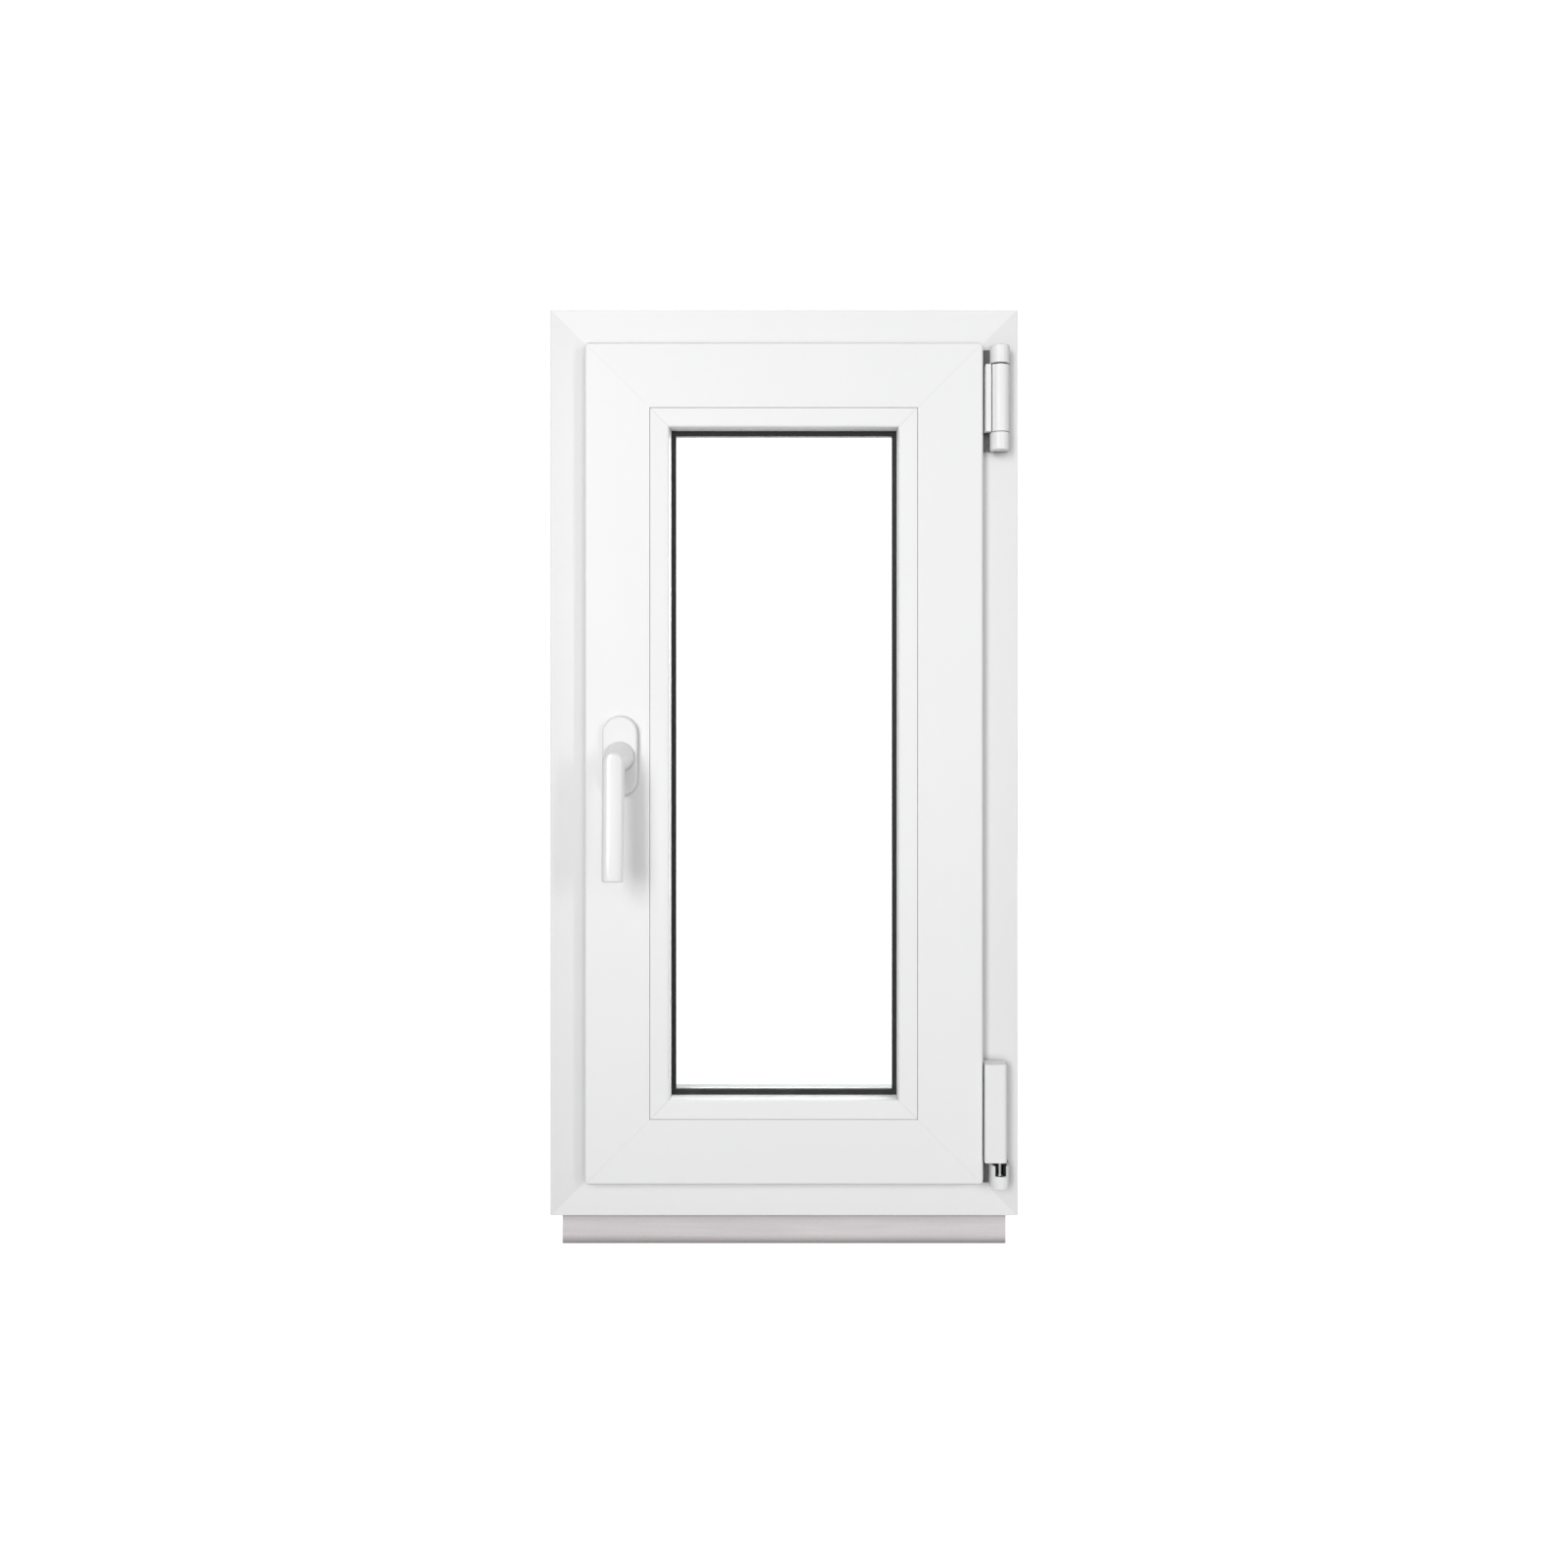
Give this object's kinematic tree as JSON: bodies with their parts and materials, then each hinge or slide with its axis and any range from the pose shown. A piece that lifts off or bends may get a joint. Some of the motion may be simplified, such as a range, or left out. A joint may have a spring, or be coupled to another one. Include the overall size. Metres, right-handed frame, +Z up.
{
  "type": "casement window",
  "caption": "White plastic tilt-and-turn casement window: mitred hollow frame and glazed sash, lever handle, corner hinge, stay arm and sill connection profile.",
  "frame": {"origin": "middle of the underside of the sill connection profile, halfway through the frame's depth", "axes": "+Z up, -Y towards the room, +X to the right seen from the room"},
  "size_m": [0.48, 0.1591, 0.96],
  "materials": {
    "white_upvc": "smooth white extruded profile, satin gloss",
    "grey_upvc": "pale pinkish grey recycled profile, matt",
    "black_rubber": "black extruded seal, matt",
    "clear_glass": "clear float glass, polished",
    "spacer_bar": "black warm-edge spacer",
    "edge_sealant": "black sealant",
    "setting_block": "blue moulded block",
    "white_cover": "white moulded cover",
    "white_coated_metal": "white powder coat on cast aluminium",
    "die_cast_zinc": "bare zinc die casting",
    "plated_steel": "bright zinc-plated steel"
  },
  "bodies": {
    "frame": {"frame_head": "white_upvc", "frame_sill": "white_upvc", "frame_lock_jamb": "white_upvc", "frame_hinge_jamb": "white_upvc", "drain_cap_left": "white_upvc", "drain_cap_right": "white_upvc", "frame_steel_lock": "plated_steel", "frame_steel_hinge": "plated_steel", "frame_stop_gasket": "black_rubber", "sill_connection_profile": "grey_upvc", "lower_keep": "plated_steel", "upper_keep": "plated_steel", "head_keep": "plated_steel", "tilt_keep": "plated_steel", "upper_hinge_bearing": "plated_steel", "upper_hinge_pin": "plated_steel", "upper_hinge_cap_lower": "white_cover", "upper_hinge_cap_upper": "white_cover", "corner_bearing": "plated_steel", "corner_bearing_cover": "white_cover"},
    "carrier": {"lower_pivot_pin": "plated_steel"},
    "sash": {"sash_top_rail": "white_upvc", "sash_bottom_rail": "white_upvc", "sash_lock_stile": "white_upvc", "sash_hinge_stile": "white_upvc", "sash_steel_lock": "plated_steel", "sash_steel_hinge": "plated_steel", "sash_overlap_gasket": "black_rubber", "inner_glass_pane": "clear_glass", "outer_glass_pane": "clear_glass", "glass_spacer_bar": "spacer_bar", "glass_edge_seal": "edge_sealant", "glazing_bead_top": "white_upvc", "glazing_bead_bottom": "white_upvc", "glazing_bead_lock_side": "white_upvc", "glazing_bead_hinge_side": "white_upvc", "glazing_gasket_room": "black_rubber", "glazing_gasket_outdoor": "black_rubber", "setting_block_left": "setting_block", "setting_block_right": "setting_block", "lock_faceplate": "plated_steel", "top_faceplate": "plated_steel", "corner_drive_top": "plated_steel", "corner_drive_bottom": "plated_steel", "gearbox_case": "die_cast_zinc", "rosette_base": "die_cast_zinc", "rosette_cover": "white_cover", "rosette_screw_upper": "plated_steel", "rosette_screw_lower": "plated_steel", "corner_band": "plated_steel", "corner_band_cover": "white_cover"},
    "handle": {"handle_lever": "white_coated_metal", "handle_spindle": "plated_steel", "handle_pinion": "plated_steel"},
    "lock_rod": {"lock_rod": "plated_steel"},
    "top_rod": {"top_rod": "plated_steel"},
    "bottom_rod": {"bottom_rod": "plated_steel"},
    "stay_arm": {"stay_arm": "plated_steel", "stay_arm_cover": "white_cover"},
    "stay_slider": {"stay_slider": "plated_steel"}
  },
  "joints": [
    {"name": "sash_turn", "type": "hinge", "parent": "frame", "child": "carrier", "pos_m": [0.2195, -0.049, 0.5], "axis": [0, 0, 1], "range_deg": [0, 100]},
    {"name": "sash_tilt", "type": "hinge", "parent": "carrier", "child": "sash", "pos_m": [0, -0.049, 0.074], "axis": [1, 0, 0], "range_deg": [0, 7]},
    {"name": "stay_swing", "type": "hinge", "parent": "carrier", "child": "stay_arm", "pos_m": [0.2195, -0.049, 0.866], "axis": [0, 0, 1], "range_deg": [0, 25.8]},
    {"name": "stay_slide", "type": "slide", "parent": "sash", "child": "stay_slider", "axis": [1, 0, 0], "range_m": [0, 0.0128]},
    {"name": "handle_turn", "type": "hinge", "parent": "sash", "child": "handle", "pos_m": [-0.165, -0.064, 0.5025], "axis": [0, -1, 0], "range_deg": [0, 180]},
    {"name": "lock_rod_slide", "type": "slide", "parent": "sash", "child": "lock_rod", "axis": [0, 0, -1], "range_m": [0, 0.0316]},
    {"name": "top_rod_slide", "type": "slide", "parent": "sash", "child": "top_rod", "axis": [-1, 0, 0], "range_m": [0, 0.0316]},
    {"name": "bottom_rod_slide", "type": "slide", "parent": "sash", "child": "bottom_rod", "axis": [1, 0, 0], "range_m": [0, 0.0316]}
  ],
  "couplings": [
    {"joint": "stay_swing", "follows": "sash_tilt", "ratio": 3.667},
    {"joint": "stay_slide", "follows": "sash_tilt", "m_per_rad": 0.1039},
    {"joint": "lock_rod_slide", "follows": "handle_turn", "m_per_rad": 0.01},
    {"joint": "top_rod_slide", "follows": "handle_turn", "m_per_rad": 0.01},
    {"joint": "bottom_rod_slide", "follows": "handle_turn", "m_per_rad": 0.01}
  ]
}
